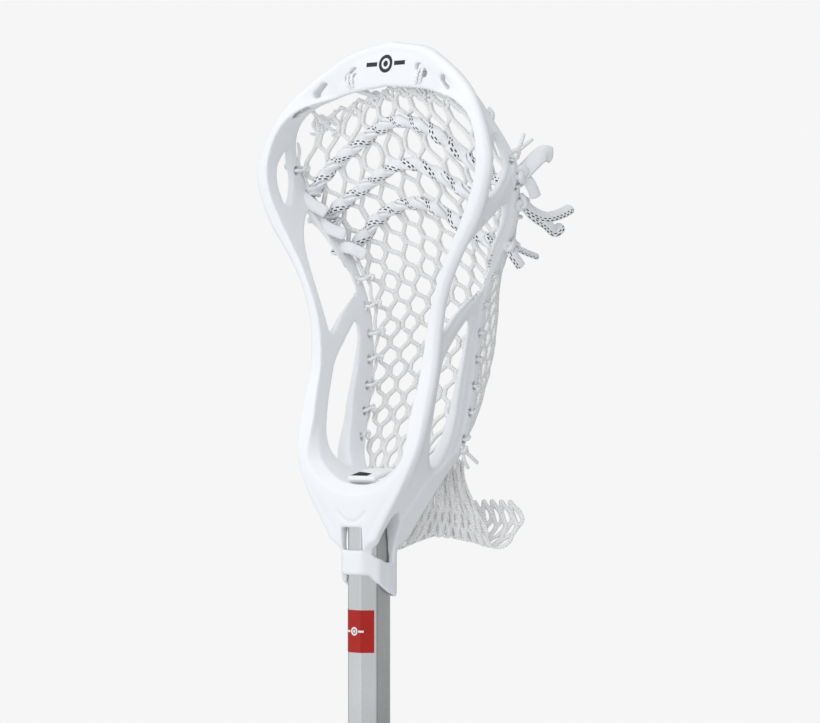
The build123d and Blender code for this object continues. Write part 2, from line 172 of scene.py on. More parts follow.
class Tubes:
    """Gathers tubes of elliptical section into one mesh with coordinates round and along each."""

    def __init__(self):
        self.verts, self.faces, self.uvs, self.count = [], [], [], 0

    def add(self, line, wide, thick, normal=None, sides=8, shift=0.0):
        """wide, across the normal, and thick, along it, are half sizes: one number or one per point."""
        line = np.asarray(line, float)
        n = len(line)
        tangent = unit(np.gradient(line, axis=0))
        if normal is None:
            normal = np.tile(np.array([0.13, -1.0, 0.21]), (n, 1))
            for i in range(n):
                if i:
                    normal[i] = normal[i - 1]
                normal[i] -= tangent[i] * (normal[i] @ tangent[i])
                normal[i] /= max(np.linalg.norm(normal[i]), 1e-9)
        else:
            normal = np.broadcast_to(np.asarray(normal, float), (n, 3))
            normal = unit(normal - tangent * np.sum(normal * tangent, 1, keepdims=True))
        across = np.cross(tangent, normal)
        wide = np.broadcast_to(np.asarray(wide, float), (n,)).copy()
        thick = np.broadcast_to(np.asarray(thick, float), (n,)).copy()
        for i, s in ((0, 0.45), (-1, 0.45), (1, 0.85), (-2, 0.85)):
            wide[i] *= s
            thick[i] *= s
        angle = np.linspace(0, 2 * math.pi, sides, endpoint=False)
        ring = (
            across[:, None] * (np.cos(angle)[None, :, None] * wide[:, None, None])
            + normal[:, None] * (np.sin(angle)[None, :, None] * thick[:, None, None])
            + line[:, None]
        )
        length = np.r_[0, np.cumsum(np.linalg.norm(np.diff(line, axis=0), axis=1))] + shift
        base = self.count
        self.verts.append(ring.reshape(-1, 3))
        i, j = np.meshgrid(np.arange(n - 1), np.arange(sides), indexing="ij")
        k = (j + 1) % sides
        quads = np.stack([i * sides + j, i * sides + k, (i + 1) * sides + k, (i + 1) * sides + j], -1)
        self.faces.extend((quads.reshape(-1, 4) + base).tolist())
        u0, u1 = j / sides, (j + 1) / sides
        v0, v1 = length[i], length[i + 1]
        corners = ((u0, v0), (u1, v0), (u1, v1), (u0, v1))
        corner = np.stack([np.stack(place, -1) for place in corners], 2)
        self.uvs.append(corner.reshape(-1, 2))
        for row, order in ((0, -1), (n - 1, 1)):
            cap = [base + row * sides + s for s in range(sides)][::order]
            self.faces.append(cap)
            self.uvs.append(np.stack([np.arange(sides) / sides, np.full(sides, length[row])], 1)[::order])
        self.count += n * sides

    def object(self, name):
        return mesh_object(name, np.vstack(self.verts), self.faces, np.vstack(self.uvs))


# ---- Shapes of the head, in millimetres ----
HEAD_BASE = 713.0
# Half outlines of the rim as (x, height above HEAD_BASE).
RIM_OUTER = [
    (0, 316.4), (26, 312.6), (42, 305), (59, 294), (72.5, 282), (81.5, 268.5), (88, 254), (90, 241),
    (85.5, 225), (78.5, 211), (68.3, 197), (59, 182), (53, 167), (49.8, 150), (48.8, 130), (48.8, 108),
    (47.6, 88), (44.2, 76), (38.5, 65), (31, 54), (23.5, 43.5), (17.5, 33), (15, 22), (14.5, 10), (14.5, -8),
]
RIM_INNER = [
    (0, 290.5), (26, 288.2), (42, 284.5), (55, 281), (66, 275.5), (73.5, 268), (78.2, 258), (80.2, 245),
    (78, 232), (71.5, 218), (62.7, 202.7), (54.5, 188.6), (46.8, 172), (41.5, 154), (38.9, 134), (38, 116),
    (36.6, 102), (34.6, 90), (31, 80.5), (24.5, 73), (15, 67), (7, 64.7), (0, 64.2),
]
# Side outlines as (y, height above HEAD_BASE).
FRONT_EDGE = [
    (-14.8, -8), (-14.8, 30), (-15, 58), (-13.6, 76), (-10.8, 90), (-4.8, 112), (0, 130), (2, 150),
    (1.8, 175), (0.8, 200), (-1, 225), (-1.5, 245), (0.5, 262), (4, 280), (8.5, 293), (12.5, 305),
    (17.5, 318),
]
BACK_EDGE = [
    (14.8, -8), (15, 30), (17.5, 50), (22, 66), (28, 76), (34, 87), (39, 100), (44.5, 122), (48.5, 150),
    (50, 175), (49, 196), (45, 211), (38, 225), (30, 242), (24, 254), (19, 268), (16.5, 282), (17, 296),
    (18.5, 308), (22.5, 318),
]
UPPER_WINDOW = [
    (14.5, 257), (9.5, 250), (8.2, 242), (8.6, 233), (10.6, 224.5), (16, 228), (20, 236), (21, 243),
    (18.5, 251),
]
MIDDLE_WINDOW = [
    (28.4, 221.4), (20.5, 214), (13.6, 202.7), (9.9, 191), (8.7, 180), (8.8, 168.7), (11.3, 151.7),
    (16, 152.5), (22.5, 160), (32.1, 168.7), (37.8, 174.4), (38.6, 181), (37, 194), (33.5, 211),
]
LOWER_WINDOW = [
    (34.8, 157), (28.5, 151.5), (23.5, 146), (14, 133.7), (9.6, 120), (5.5, 105), (2.9, 91.6), (4.3, 81.5),
    (9.5, 74.5), (14.5, 76), (18, 83), (23.9, 98.4), (27.6, 114), (34, 138), (36, 150),
]
THROAT_WINDOW = [
    (-7.5, 47.5), (-2, 48), (1.5, 40), (3, 28), (3.3, 21), (1.6, 20), (-4, 21.8), (-8.7, 24.5), (-9.9, 30),
    (-9.3, 38),
]
MOUTH = [(-18, 13.6), (-10, 13), (-7, 9), (-2, 5.5), (2, 3), (9, 0.6), (16, 0)]
SCOOP_SLOTS = [(27, 298.5, 41, 10.5), (48, 290.5, 43, 11)]  # x, height, tilt in degrees, length
SLOT_RADIUS = 2.2
SHOULDER_HOLE = (9.5, 280.0)  # y and height of a blind hole inside each shoulder
STRING_HOLES = (90, 105, 120, 135, 150, 166, 182, 232, 246)
SOCKET_HALF_X, SOCKET_HALF_Y, SOCKET_CORNER, SOCKET_TOP = 11.3, 12.4, 16.95, 53.5
SOCKET_WINDOW = (7.6, 33.8, 6.3)  # half width, height of its middle, half height
LEAN, FULL_LEAN_X = 0.1, 45.0
FLOOR_HEIGHT, FLOOR_SLOPE = 67.5, 0.24
RIM_DEPTH = 6.0
WALL_INSET, WALL = 2.0, 3.8
CELL = 0.9


def polygon_distance(points, u, v):
    """Signed distance, negative inside, from every (u, v) to a closed polygon."""
    p = np.asarray(points, float)
    q = np.roll(p, -1, axis=0)
    shape = u.shape
    u, v = u.ravel()[:, None], v.ravel()[:, None]
    best = np.full(len(u), 1e9)
    crossings = np.zeros(len(u), int)
    for s in range(0, len(p), 32):
        a, b = p[s : s + 32], q[s : s + 32]
        d = b - a
        t = ((u - a[:, 0]) * d[:, 0] + (v - a[:, 1]) * d[:, 1]) / np.maximum((d * d).sum(1), 1e-12)
        t = np.clip(t, 0, 1)
        far = (u - a[:, 0] - t * d[:, 0]) ** 2 + (v - a[:, 1] - t * d[:, 1]) ** 2
        best = np.minimum(best, far.min(1))
        spans = (a[:, 1] > v) != (b[:, 1] > v)
        slope = d[:, 0] / np.where(np.abs(d[:, 1]) < 1e-12, 1e-12, d[:, 1])
        crossings += (spans & (u < a[:, 0] + (v - a[:, 1]) * slope)).sum(1)
    return np.where(crossings % 2 == 1, -1.0, 1.0).reshape(shape) * np.sqrt(best).reshape(shape)


def smooth_max(a, b, k):
    return np.maximum(a, b) + np.maximum(k - np.abs(a - b), 0) ** 2 / (4 * k)


def smooth_min(a, b, k):
    return -smooth_max(-a, -b, k)


def smooth_step(low, high, x):
    t = np.clip((x - low) / (high - low), 0, 1)
    return t * t * (3 - 2 * t)


def mirrored_outline(half):
    right = smooth_line(half, 260)
    return np.vstack([right, (right * [-1, 1])[::-1]])


def surface_net(field, origin, cell):
    """Mesh of a field's zero level: one point in every cell that the level crosses, joined by quads."""
    inside = field < 0
    total = np.zeros(tuple(n - 1 for n in field.shape), np.int8)
    for c in np.ndindex(2, 2, 2):
        total += inside[tuple(slice(k, k + n - 1) for k, n in zip(c, field.shape))]
    active = (total > 0) & (total < 8)
    cells = np.argwhere(active)
    index = np.full(active.shape, -1, np.int64)
    index[active] = np.arange(len(cells))
    sums = np.zeros((len(cells), 3))
    hits = np.zeros(len(cells))
    for c in np.ndindex(2, 2, 2):
        for axis in range(3):
            if c[axis]:
                continue
            a = cells + c
            b = a.copy()
            b[:, axis] += 1
            fa, fb = field[tuple(a.T)], field[tuple(b.T)]
            cut = (fa < 0) != (fb < 0)
            t = np.where(cut, fa / np.where(cut, fa - fb, 1), 0)
            point = a.astype(float)
            point[:, axis] += t
            sums[cut] += point[cut]
            hits[cut] += 1
    verts = sums / hits[:, None] * cell + origin
    quads = []
    for axis in range(3):
        one, two = (axis + 1) % 3, (axis + 2) % 3
        low = [slice(1, None)] * 3
        low[axis] = slice(0, -1)
        high = [slice(1, None)] * 3
        size = field[tuple(low)].shape
        trim = tuple(slice(0, n if k == axis else n - 1) for k, n in enumerate(size))
        start, end = inside[tuple(low)], inside[tuple(high)]
        cross = np.argwhere((start != end)[trim])
        cell_at = cross + 1
        cell_at[:, axis] -= 1
        flip = start[tuple(cross.T)]
        corners = []
        for da, db in ((0, 0), (1, 0), (1, 1), (0, 1)):
            k = cell_at.copy()
            k[:, one] -= da
            k[:, two] -= db
            corners.append(index[tuple(k.T)])
        quad = np.stack(corners, 1)
        quad[~flip] = quad[~flip][:, ::-1]
        quads.append(quad[(quad >= 0).all(1)])
    return verts, np.vstack(quads)


def head_field():
    """Signed distance of the moulded head on a half grid, mirrored to a whole one."""
    x = np.arange(0, 93, CELL, dtype=np.float32)
    y = np.arange(-17.5, 53, CELL, dtype=np.float32)
    z = np.arange(709.3, 1031, CELL, dtype=np.float32)
    flat = (x[:, None] + 0 * z[None], 0 * x[:, None] + z[None] - HEAD_BASE)
    outer = polygon_distance(mirrored_outline(RIM_OUTER), *flat).astype(np.float32)
    inner = polygon_distance(mirrored_outline(RIM_INNER), *flat).astype(np.float32)
    side = (y[:, None] + 0 * z[None], 0 * y[:, None] + z[None] - HEAD_BASE)
    front_line, back_line = smooth_line(FRONT_EDGE, 220), smooth_line(BACK_EDGE, 220)
    band = polygon_distance(np.vstack([front_line, back_line[::-1]]), *side).astype(np.float32)
    front_y = np.interp(z - HEAD_BASE, front_line[:, 1], front_line[:, 0])
    back_y = np.interp(z - HEAD_BASE, back_line[:, 1], back_line[:, 0])
    slope = np.gradient(front_y, z)
    front = ((front_y[None] - y[:, None]) / np.sqrt(1 + slope[None] ** 2)).astype(np.float32)
    thickness = back_y - front_y
    X, Y, Z = x[:, None, None], y[None, :, None], z[None, None, :]
    H = Z - HEAD_BASE

    # Outline distances at the place a point comes from before the walls lean in.
    share = np.minimum(1, x / FULL_LEAN_X)
    moved = x[:, None] + LEAN * y[None] * share[:, None]
    at = np.clip(moved / CELL, 0, len(x) - 1.001)
    i = at.astype(int)
    f = (at - i)[..., None].astype(np.float32)
    lean_outer = outer[i] * (1 - f) + outer[i + 1] * f
    lean_inner = inner[i] * (1 - f) + inner[i + 1] * f
    share = share[:, None, None]

    # The floor of the throat rises towards the back.
    lean_inner = np.maximum(lean_inner, FLOOR_HEIGHT + FLOOR_SLOPE * Y - H - 300 * smooth_step(26, 44, X))

    rim_r = 2.2
    rim = smooth_max(outer[:, None], -inner[:, None], rim_r)
    # The rim's face is crowned: it slopes back from a crest towards both edges.
    crowned = smooth_step(985, 960, Z)
    inner_slope = front[None] + 0.38 * crowned * (6.0 - inner[:, None])
    outer_slope = front[None] + 0.45 * crowned * (4.0 + outer[:, None])
    rim = smooth_max(rim, np.maximum(inner_slope, outer_slope) * 0.92, 1.2)
    # A chamfer along the front outer edge, wide on the collar and narrow on the rim.
    chamfer = 2.0 + 5.2 * smooth_step(800, 752, Z)
    edge = (outer[:, None] + front[None] + chamfer) * 0.7071
    rim = smooth_max(rim, edge, 1.5)
    # The scoop is dished: its face falls back towards the inner edge.
    dish = 0.45 * np.maximum(0, -outer - 3.0) * smooth_step(988, 1001, z)[None]
    dish = np.maximum(dish, 0.45 * np.maximum(0, -outer - 8.0) * smooth_step(966, 980, z)[None])
    dish = np.minimum(dish, np.maximum(0, thickness - 3.6)[None])
    rim = smooth_max(rim, front[None] + dish[:, None], rim_r)
    rim = smooth_max(rim, -front[None] - RIM_DEPTH, 2.0)

    window = np.full(band.shape, 1e3, np.float32)
    for points in (UPPER_WINDOW, MIDDLE_WINDOW, LOWER_WINDOW, THROAT_WINDOW):
        d = polygon_distance(smooth_line(points, 120, closed=True), *side)
        window = np.minimum(window, d).astype(np.float32)

    # Walls: thicker along the back rail, stepped in round the windows.
    to_back = back_y[None] - y[:, None]
    rail_width = 6.0 + 9.0 * smooth_step(800, 775, z)[None]
    rail = smooth_step(rail_width + 1.6, rail_width - 0.6, to_back) * smooth_step(990, 960, z)[None]
    step = 1.1 * smooth_step(3.6, 2.6, window) * smooth_step(770, 780, z)[None]
    inset = (WALL_INSET * smooth_step(752, 790, z)[None] - 1.3 * rail + step)[None]
    wall_out = lean_outer + inset * share
    wall_in = lean_inner + (8.5 - WALL_INSET - WALL) * share * smooth_step(80, 110, H)
    wall = smooth_max(wall_out, -wall_in, 1.6)
    wall = smooth_max(wall, band[None], 2.2)
    wall = smooth_max(wall, front[None] + dish[:, None], 1.5)
    head = smooth_min(rim, wall, 1.2)

    # The throat's front edge is cut back to the floor by a wide chamfer.
    grow = 5.8 * np.clip(1 + front[None] / 6.6, 0, 1) * smooth_step(104, 74, H)
    head = smooth_max(head, -(inner[:, None] - grow), 0.8)

    # Collar corners, front and back.
    corner = (X + np.abs(Y) - 22.0 - 400 * smooth_step(738, 830, Z)) * 0.7071
    head = smooth_max(head, corner, 1.5)

    head = smooth_max(head, -window[None], 1.4)

    # Slots for the top string.
    for sx, sh, tilt, length in SCOOP_SLOTS:
        a = math.radians(tilt)
        across, up = X - sx, H - sh
        run = -across * math.cos(a) + up * math.sin(a)
        off = across * math.sin(a) + up * math.cos(a)
        half = length / 2 - SLOT_RADIUS
        slot = np.sqrt((run - np.clip(run, -half, half)) ** 2 + off**2) - SLOT_RADIUS
        head = smooth_max(head, -slot, 1.2)

    # A long blind hole inside each shoulder, where the scoop turns into the sidewall.
    back, up = Y - SHOULDER_HOLE[0], H - SHOULDER_HOLE[1]
    run = back * 0.5 + up * 0.866
    off = back * 0.866 - up * 0.5
    shoulder = np.sqrt((run - np.clip(run, -2.6, 2.6)) ** 2 + off**2) - 2.3
    head = smooth_max(head, -np.maximum(np.maximum(shoulder, 56 - X), outer[:, None] + 2.4), 1.0)

    # Holes for the sidewall strings.
    for h in STRING_HOLES:
        hole_y = np.interp(h, back_line[:, 1], back_line[:, 0]) - 3.6
        hole = np.sqrt((Y - hole_y) ** 2 + (np.maximum(np.abs(H - h) - 1.2, 0)) ** 2) - 1.4
        head = smooth_max(head, -hole, 0.6)

    # Blind teardrop on the inside of the upper strut, and a dimple outside.
    drop = np.sqrt(((Y - 21.5 - (H - 222) * 0.08) / 2.3) ** 2 + ((H - 223) / 9.5) ** 2) - 1
    head = np.maximum(head, -np.maximum(drop * 2.3, np.abs(lean_inner + 2.7) - 2.0))
    dimple = np.sqrt((Y - 14.5) ** 2 + (H - 211) ** 2 + (X - wall_x_at(924, 14.5) - 2.0) ** 2) - 3.6
    head = smooth_max(head, -dimple, 1.0)

    # Socket, its front window, the slanted mouth and the groove above the window.
    corner = (X + np.abs(Y) - SOCKET_CORNER) * 0.7071
    socket = np.maximum(np.maximum(X - SOCKET_HALF_X, np.abs(Y) - SOCKET_HALF_Y), corner)
    socket = np.maximum(socket, H - SOCKET_TOP)
    head = np.maximum(head, -socket)
    half_width, middle, half_height = SOCKET_WINDOW
    front_window = np.maximum(np.maximum(X - half_width, np.abs(H - middle) - half_height), Y + 5)
    head = smooth_max(head, -front_window, 1.4)
    mouth_line = np.interp(y, [p[0] for p in MOUTH], [p[1] for p in MOUTH])[None, :, None]
    head = smooth_max(head, (mouth_line - H) * 0.85, 1.6)
    groove_h = 43.2 + 0.052 * X**2
    groove = np.sqrt((H - groove_h) ** 2 + (Y + 15.4) ** 2) - 0.95
    head = smooth_max(head, -np.maximum(groove, X - 11), 0.8)
    half = head.astype(np.float32)
    whole = np.concatenate([half[:0:-1], half], 0)
    return whole, np.array([-x[-1], y[0], z[0]], float)


def wall_x_at(height, y):
    """How far the sidewall's outer face lies from the middle."""
    points = sorted((h + HEAD_BASE, x) for x, h in RIM_OUTER if x > 13)
    outer = np.interp(height, [p[0] for p in points], [p[1] for p in points])
    return float(outer - WALL_INSET - LEAN * y)


# ---- Materials ----
class Shader:
    """A material with one principled shader and short calls for the nodes that feed it."""

    def __init__(self, name, colour, roughness, metallic=0.0, specular=0.5, **sockets):
        self.material = bpy.data.materials.new(name)
        self.material.use_nodes = True
        self.tree = self.material.node_tree
        self.base = self.tree.nodes["Principled BSDF"]
        sockets.update(Base_Color=(*colour, 1), Roughness=roughness, Metallic=metallic)
        set_sockets(self.base, {"Specular IOR Level": specular, **sockets})
        self.place = new_node(self.tree, "TexCoord").outputs["Object"]
        self.height = None

    def link(self, a, b):
        self.tree.links.new(a, b)

    def feed(self, node, values):
        for socket, value in zip(node.inputs, values):
            if value is None:
                continue
            if isinstance(value, (int, float)):
                socket.default_value = value
            else:
                self.link(value, socket)

    def math(self, operation, *values):
        node = new_node(self.tree, "Math")
        node.operation = operation
        self.feed(node, values)
        return node.outputs[0]

    def within(self, value, centre, reach):
        """One where a value lies nearer to the centre than the reach, and nought elsewhere."""
        return self.math("LESS_THAN", self.math("ABSOLUTE", self.math("SUBTRACT", value, centre)), reach)

    def both(self, *masks):
        result = masks[0]
        for mask in masks[1:]:
            result = self.math("MULTIPLY", result, mask)
        return result

    def stretched(self, scale):
        node = new_node(self.tree, "Mapping", Scale=scale)
        self.link(self.place, node.inputs["Vector"])
        return node.outputs[0]

    def noise(self, scale, detail=3.0, roughness=0.5, vector=None):
        node = new_node(self.tree, "TexNoise", Scale=scale, Detail=detail, Roughness=roughness)
        self.link(vector or self.place, node.inputs["Vector"])
        return node.outputs["Fac"]

    def spread(self, value, low, high, from_low=0.3, from_high=0.7):
        node = new_node(self.tree, "MapRange")
        self.feed(node, (value, from_low, from_high, low, high))
        return node.outputs[0]

    def mix(self, factor, first, second):
        node = new_node(self.tree, "Mix")
        node.data_type = "RGBA"
        self.link(factor, node.inputs["Factor"])
        for name, colour in (("A", first), ("B", second)):
            socket = [i for i in node.inputs if i.name == name and i.type == "RGBA"][0]
            if isinstance(colour, tuple):
                socket.default_value = (*colour, 1)
            else:
                self.link(colour, socket)
        return [o for o in node.outputs if o.type == "RGBA"][0]

    def mottled(self, scale, detail, first, second):
        """A colour that wanders between two in soft patches."""
        return self.mix(self.spread(self.noise(scale, detail), 0.0, 1.0), first, second)

    def worn(self, scale, detail, low, high):
        """Roughness that wanders between two values."""
        self.rough(self.spread(self.noise(scale, detail), low, high))

    def colour(self, output):
        self.link(output, self.base.inputs["Base Color"])

    def rough(self, output):
        self.link(output, self.base.inputs["Roughness"])

    def bump(self, output, strength, distance):
        node = new_node(self.tree, "Bump", Strength=strength, Distance=distance * MM)
        self.link(output, node.inputs["Height"])
        if self.height is not None:
            self.link(self.height, node.inputs["Normal"])
        self.height = node.outputs[0]
        self.link(self.height, self.base.inputs["Normal"])

    def along(self):
        """Distance round a cord, from 0 to 1, and along it in millimetres."""
        uv = new_node(self.tree, "UVMap")
        uv.uv_map = "along"
        parts = new_node(self.tree, "SeparateXYZ")
        self.link(uv.outputs[0], parts.inputs[0])
        return parts.outputs[0], parts.outputs[1]

    def xyz(self):
        """Place on the object in millimetres."""
        parts = new_node(self.tree, "SeparateXYZ")
        self.link(self.place, parts.inputs[0])
        return [self.math("MULTIPLY", out, 1000.0) for out in parts.outputs]

    def braid(self, turns, pitch, depth):
        """Two sets of slanting ridges that cross, as on a braided or knitted cord."""
        u, v = self.along()
        run = self.math("MULTIPLY", v, 2 * math.pi / pitch)
        angle = self.math("MULTIPLY", u, 2 * math.pi * turns)
        one = self.math("SINE", self.math("ADD", angle, run))
        two = self.math("SINE", self.math("SUBTRACT", angle, run))
        ridges = self.math("MAXIMUM", one, two)
        self.bump(ridges, 0.9, depth)
        return ridges


def paint(piece, shader):
    piece.data.materials.clear()
    piece.data.materials.append(shader.material)


def ring_and_bars(shader, x, z, centre_z, size):
    """Mask of a plain printed mark: a ring round a dot, with a bar on each side."""
    up = shader.math("SUBTRACT", z, centre_z)
    squares = shader.math("ADD", shader.math("POWER", x, 2.0), shader.math("POWER", up, 2.0))
    far = shader.math("SQRT", squares)
    ring = shader.within(far, 0.80 * size, 0.20 * size)
    dot = shader.math("LESS_THAN", far, 0.34 * size)
    along_bar = shader.within(shader.math("ABSOLUTE", x), 2.05 * size, 0.8 * size)
    bar = shader.both(along_bar, shader.within(up, 0.0, 0.24 * size))
    return shader.math("MAXIMUM", shader.math("MAXIMUM", ring, dot), bar)


nylon = Shader("moulded_nylon", (0.845, 0.85, 0.858), 0.36, specular=0.45)
nylon_x, nylon_y, nylon_z = nylon.xyz()
SCOOP_MARK_HEIGHT, SCOOP_MARK_SIZE = 1016.6, 5.2
SCOOP_MIDDLE_Y = 16.6  # between the scoop's two faces, so that the mark is on the front one only
scoop_mark = ring_and_bars(nylon, nylon_x, nylon_z, SCOOP_MARK_HEIGHT, SCOOP_MARK_SIZE)
scoop_mark = nylon.both(scoop_mark, nylon.math("LESS_THAN", nylon_y, SCOOP_MIDDLE_Y))
nylon_plain = nylon.mottled(9.0, 4.0, (0.83, 0.835, 0.845), (0.86, 0.865, 0.872))
nylon.colour(nylon.mix(scoop_mark, nylon_plain, (0.012, 0.012, 0.014)))
nylon.worn(160.0, 5.0, 0.30, 0.44)
nylon.bump(nylon.noise(900.0), 0.25, 0.05)
nylon.bump(nylon.noise(60.0), 0.12, 0.12)

alloy = Shader("anodised_alloy", (0.66, 0.66, 0.655), 0.33, metallic=1.0)
streaks = alloy.noise(1.0, 4.0, 0.6, alloy.stretched((900.0, 900.0, 6.0)))
alloy.colour(alloy.mottled(18.0, 4.0, (0.55, 0.55, 0.54), (0.62, 0.62, 0.61)))
alloy.rough(alloy.spread(streaks, 0.20, 0.34))
alloy.bump(streaks, 0.25, 0.03)

film = Shader("label_film", (0.42, 0.012, 0.008), 0.3, specular=0.25)
film_x, film_y, film_z = film.xyz()
FILM_MARK_HEIGHT, FILM_MARK_SIZE = 694.5, 2.4
SHAFT_FRONT_Y = -11.0  # the label's front face lies before this
film_mark = ring_and_bars(film, film_x, film_z, FILM_MARK_HEIGHT, FILM_MARK_SIZE)
film_mark = film.both(film_mark, film.math("LESS_THAN", film_y, SHAFT_FRONT_Y))
film_red = film.mottled(70.0, 4.0, (0.36, 0.008, 0.005), (0.42, 0.012, 0.007))
film.colour(film.mix(film_mark, film_red, (0.80, 0.78, 0.76)))
film.worn(300.0, 3.0, 0.24, 0.36)
film.bump(film.noise(220.0, 2.0), 0.12, 0.04)

rubber = Shader("cap_rubber", (0.022, 0.022, 0.024), 0.6, specular=0.35)
rubber.colour(rubber.mottled(40.0, 5.0, (0.018, 0.018, 0.02), (0.034, 0.034, 0.036)))
rubber.worn(220.0, 4.0, 0.5, 0.72)
rubber.bump(rubber.noise(1400.0), 0.5, 0.12)

steel = Shader("screw_steel", (0.58, 0.58, 0.59), 0.32, metallic=1.0)
steel.rough(steel.spread(steel.noise(900.0, 4.0, 0.6, steel.stretched((1.0, 8.0, 1.0))), 0.22, 0.46))
steel.colour(steel.mottled(300.0, 4.0, (0.52, 0.52, 0.53), (0.66, 0.66, 0.66)))

foam = Shader("pad_foam", (0.82, 0.82, 0.81), 0.75, specular=0.25)
cells = foam.noise(1700.0, 3.0, 0.6)
foam_x, foam_y = foam.xyz()[:2]
foam_white = foam.mix(foam.spread(cells, 0.0, 1.0), (0.76, 0.76, 0.75), (0.88, 0.88, 0.87))
# Painted shade: a dark patch on the pad's top, in place of the shadowed gap there, narrower towards the
# right.
foam_edge = foam.math("ADD", foam.math("MULTIPLY", foam_x, -0.28), -0.4)
pad_gap_shade = foam.both(foam.math("LESS_THAN", foam_y, foam_edge), foam.math("GREATER_THAN", foam_y, -5.6))
pad_gap_shade = foam.both(pad_gap_shade, foam.within(foam_x, -3.0, 6.6))
foam.colour(foam.mix(pad_gap_shade, foam_white, (0.018, 0.018, 0.018)))
foam.bump(cells, 0.6, 0.18)


def cord_shader(name, dark, light, roughness, turns, pitch, depth):
    """A cord's material: braided relief, with painted shade darkening it between its ridges, and slight
    soiling.
    """
    shader = Shader(name, light, roughness, specular=0.3, Sheen_Weight=0.25, Sheen_Roughness=0.5)
    ridges = shader.braid(turns, pitch, depth)
    # Painted shade: the colour runs from light on the braid's ridges to dark between them.
    groove_shade = shader.mix(shader.spread(ridges, 0.0, 1.0, -0.4, 0.9), dark, light)
    patches = shader.spread(shader.noise(35.0, 4.0), 0.0, 0.22)
    shader.colour(shader.mix(patches, groove_shade, dark))
    shader.bump(shader.noise(2600.0, 2.0), 0.35, 0.12)
    return shader


knit = cord_shader("mesh_cord", (0.84, 0.835, 0.815), (0.97, 0.965, 0.95), 0.72, 2, 1.5, 0.14)
nylon_cord = cord_shader("nylon_cord", (0.84, 0.84, 0.835), (0.96, 0.96, 0.955), 0.5, 3, 1.9, 0.14)

lace = Shader("shooting_lace", (0.83, 0.845, 0.87), 0.5, specular=0.35, Sheen_Weight=0.3, Sheen_Roughness=0.4)
lace_u, lace_v = lace.along()
LACE_WIDE, LACE_THICK = 4.1, 1.8  # half sizes
TRACER_PITCH = 3.1
lace_turn = lace.math("COSINE", lace.math("MULTIPLY", lace_u, 2 * math.pi))
lace_across = lace.math("MULTIPLY", lace_turn, LACE_WIDE)
tracers = []
for place, start in ((3.2, 0.0), (1.6, 0.5)):
    beat = lace.math("FRACT", lace.math("ADD", lace.math("DIVIDE", lace_v, TRACER_PITCH), start))
    tracers.append(lace.both(lace.within(lace_across, place, 0.42), lace.math("LESS_THAN", beat, 0.55)))
tracer = lace.both(lace.math("MAXIMUM", *tracers), lace.math("LESS_THAN", lace_u, 0.5))
weave_run = lace.math("MULTIPLY", lace_v, 2 * math.pi / 0.9)
weave_side = lace.math("MULTIPLY", lace_across, 2 * math.pi / 0.8)
weave = lace.math("MULTIPLY", lace.math("SINE", weave_run), lace.math("SINE", weave_side))
lace_white = lace.mottled(45.0, 4.0, (0.87, 0.875, 0.885), (0.94, 0.945, 0.955))
lace.colour(lace.mix(tracer, lace_white, (0.018, 0.018, 0.022)))
lace.bump(weave, 0.5, 0.16)
lace.bump(lace.noise(2400.0, 2.0), 0.25, 0.08)

for node, shader in (("shaft", alloy), ("shaft_label", film), ("butt_cap", rubber), ("head_screw", steel)):
    paint(nodes[node], shader)


def settle(piece, shader, slot, *replaced):
    """Paints a piece, lets it ride on the stick and puts it in place of its CAD nodes."""
    paint(piece, shader)
    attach(piece, "stick")
    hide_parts(*replaced)


# ---- Moulded head ----
field, origin = head_field()
head_verts, head_faces = surface_net(field, origin, CELL)
head = mesh_object("head_moulding", head_verts, head_faces.tolist())
settle(head, nylon, "head_nylon", "head_frame")

# ---- Ball stop: a thin foam pad on the throat's floor ----
PAD_HALF_X, PAD_FRONT, PAD_BACK, PAD_THICK, PAD_CELL = 10.5, -7.0, 12.0, 2.6, 0.45
PAD_ROUNDING = 1.1
PAD_GRID = np.array([-13, -9.5, 63])  # the grid's lowest x, y and height
pad_x = np.arange(PAD_GRID[0], 13, PAD_CELL)[:, None, None]
pad_y = np.arange(PAD_GRID[1], 14.5, PAD_CELL)[None, :, None]
pad_h = np.arange(PAD_GRID[2], 75.5, PAD_CELL)[None, None, :]
pad_up = pad_h - (FLOOR_HEIGHT + 0.3 + FLOOR_SLOPE * pad_y) - PAD_THICK / 2
pad_mid = (PAD_FRONT + PAD_BACK) / 2
crown = 0.35 * (1 - (pad_x / PAD_HALF_X) ** 2) * (1 - ((pad_y - pad_mid) / 9.5) ** 2)
pad_q = [
    np.abs(pad_x) - PAD_HALF_X + PAD_ROUNDING + 0 * pad_y + 0 * pad_h,
    np.abs(pad_y - pad_mid) - (PAD_BACK - PAD_FRONT) / 2 + PAD_ROUNDING + 0 * pad_x + 0 * pad_h,
    np.abs(pad_up) - PAD_THICK / 2 + PAD_ROUNDING - np.where(pad_up > 0, crown, 0),
]
pad_out = np.sqrt(sum(np.maximum(q, 0) ** 2 for q in pad_q))
pad_in = np.minimum(np.maximum(np.maximum(pad_q[0], pad_q[1]), pad_q[2]), 0)
pad_field = pad_out + pad_in - PAD_ROUNDING
pad_verts, pad_faces = surface_net(pad_field, PAD_GRID + [0, 0, HEAD_BASE], PAD_CELL)
pad = mesh_object("foam_pad", pad_verts, pad_faces.tolist())
settle(pad, foam, "pad_foam", "ball_stop")

